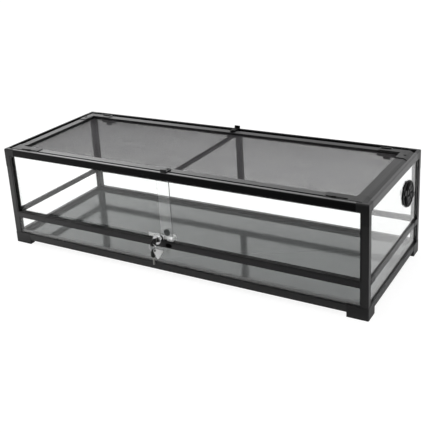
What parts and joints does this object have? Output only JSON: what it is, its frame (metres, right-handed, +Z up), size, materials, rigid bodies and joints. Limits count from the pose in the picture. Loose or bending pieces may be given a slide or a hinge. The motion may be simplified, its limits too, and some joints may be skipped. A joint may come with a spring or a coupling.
{
  "type": "reptile terrarium",
  "caption": "Long low glass terrarium in a black frame with sliding glass doors, a lock on its ratchet bar, a side vent and a lift-out mesh lid.",
  "frame": {"origin": "middle of the cabinet outline on the ground plane under the feet", "axes": "+X along the length to the right, -Y towards the doors, +Z up"},
  "size_m": [1.2241, 0.4978, 0.3363],
  "materials": {
    "frame_black": "satin black",
    "corner_plastic": "satin black",
    "track_plastic": "matt black",
    "pane_glass": "clear",
    "floor_gloss": "glossy",
    "lock_metal": "polished",
    "key_plastic": "satin",
    "mesh_metal": "dark satin"
  },
  "bodies": {
    "cabinet": {"feet": "corner_plastic", "corner_post_front_left": "frame_black", "corner_post_front_right": "frame_black", "corner_post_back_left": "frame_black", "corner_post_back_right": "frame_black", "top_corners_front": "corner_plastic", "top_corners_back": "corner_plastic", "base_rail_front": "frame_black", "base_rail_back": "frame_black", "base_rail_left": "frame_black", "base_rail_right": "frame_black", "door_sill": "frame_black", "mid_rail_back": "frame_black", "mid_rail_left": "frame_black", "mid_rail_right": "frame_black", "top_rail_front": "frame_black", "top_rail_back": "frame_black", "top_rail_left": "frame_black", "top_rail_right": "frame_black", "mid_rail_sleeves": "corner_plastic", "back_centre_post": "frame_black", "floor_panel": "floor_gloss", "lower_glass_front": "pane_glass", "lower_glass_back": "pane_glass", "lower_glass_left": "pane_glass", "lower_glass_right": "pane_glass", "side_glass_left": "pane_glass", "side_glass_right": "pane_glass", "back_glass_left": "pane_glass", "back_glass_right": "pane_glass", "door_top_track": "track_plastic", "door_bottom_track": "track_plastic", "door_side_channels": "track_plastic", "vent_flange": "corner_plastic", "vent_nut": "corner_plastic"},
    "door_left": {"door_left_glass": "pane_glass", "lock_bar": "lock_metal"},
    "door_right": {"door_right_glass": "pane_glass", "lock_housing": "lock_metal"},
    "lock_core": {"lock_plug": "lock_metal", "lock_key": "key_plastic"},
    "ring": {"key_ring": "lock_metal"},
    "hanging_key": {"spare_key": "key_plastic"},
    "tag": {"key_tag": "lock_metal"},
    "vent_dial": {"vent_shutter": "corner_plastic"},
    "lid": {"lid_front_rail": "frame_black", "lid_back_rail": "frame_black", "lid_side_rails": "frame_black", "lid_corners_front": "corner_plastic", "lid_corners_back": "corner_plastic", "lid_brace": "frame_black", "lid_mesh": "mesh_metal", "lid_screws": "lock_metal"},
    "latch_left": {"front_latch_left": "corner_plastic"},
    "latch_right": {"front_latch_right": "corner_plastic"},
    "clip_front": {"centre_clip_front": "corner_plastic"},
    "clip_back": {"centre_clip_back": "corner_plastic"},
    "inlet_left": {"inlet_slider_left": "corner_plastic"},
    "inlet_right": {"inlet_slider_right": "corner_plastic"}
  },
  "joints": [
    {"name": "door_left_slide", "type": "slide", "parent": "cabinet", "child": "door_left", "axis": [1, 0, 0], "range_m": [0, 0.57]},
    {"name": "door_right_slide", "type": "slide", "parent": "cabinet", "child": "door_right", "axis": [1, 0, 0], "range_m": [-0.51, 0]},
    {"name": "lock_turn", "type": "hinge", "parent": "door_right", "child": "lock_core", "pos_m": [-0.032, -0.238, 0.116], "axis": [0, 1, 0], "range_deg": [0, 90]},
    {"name": "key_ring_swing", "type": "hinge", "parent": "lock_core", "child": "ring", "pos_m": [-0.032, -0.26, 0.116], "axis": [1, 0, 0], "range_deg": [-12, 12]},
    {"name": "spare_key_swing", "type": "hinge", "parent": "ring", "child": "hanging_key", "pos_m": [-0.0305, -0.26, 0.0914], "axis": [1, 0, 0], "range_deg": [-12, 12]},
    {"name": "key_tag_swing", "type": "hinge", "parent": "ring", "child": "tag", "pos_m": [-0.025, -0.26, 0.09381], "axis": [0.8192, -0.5736, 0], "range_deg": [-12, 12]},
    {"name": "vent_turn", "type": "hinge", "parent": "cabinet", "child": "vent_dial", "pos_m": [0.609, 0.115, 0.228], "axis": [1, 0, 0], "range_deg": [0, 30]},
    {"name": "lid_lift", "type": "slide", "parent": "cabinet", "child": "lid", "axis": [0, 0, 1], "range_m": [0, 0.15]},
    {"name": "latch_left_slide", "type": "slide", "parent": "lid", "child": "latch_left", "axis": [1, 0, 0], "range_m": [-0.012, 0]},
    {"name": "latch_right_slide", "type": "slide", "parent": "lid", "child": "latch_right", "axis": [1, 0, 0], "range_m": [-0.012, 0]},
    {"name": "clip_front_turn", "type": "hinge", "parent": "lid", "child": "clip_front", "pos_m": [0.001, -0.198, 0.328], "axis": [0, 0, 1], "range_deg": [0, 90]},
    {"name": "clip_back_turn", "type": "hinge", "parent": "lid", "child": "clip_back", "pos_m": [0.001, 0.19, 0.328], "axis": [0, 0, 1], "range_deg": [-90, 0]},
    {"name": "inlet_left_slide", "type": "slide", "parent": "lid", "child": "inlet_left", "axis": [1, 0, 0], "range_m": [-0.025, 0.015]},
    {"name": "inlet_right_slide", "type": "slide", "parent": "lid", "child": "inlet_right", "axis": [1, 0, 0], "range_m": [-0.04, 0]}
  ]
}
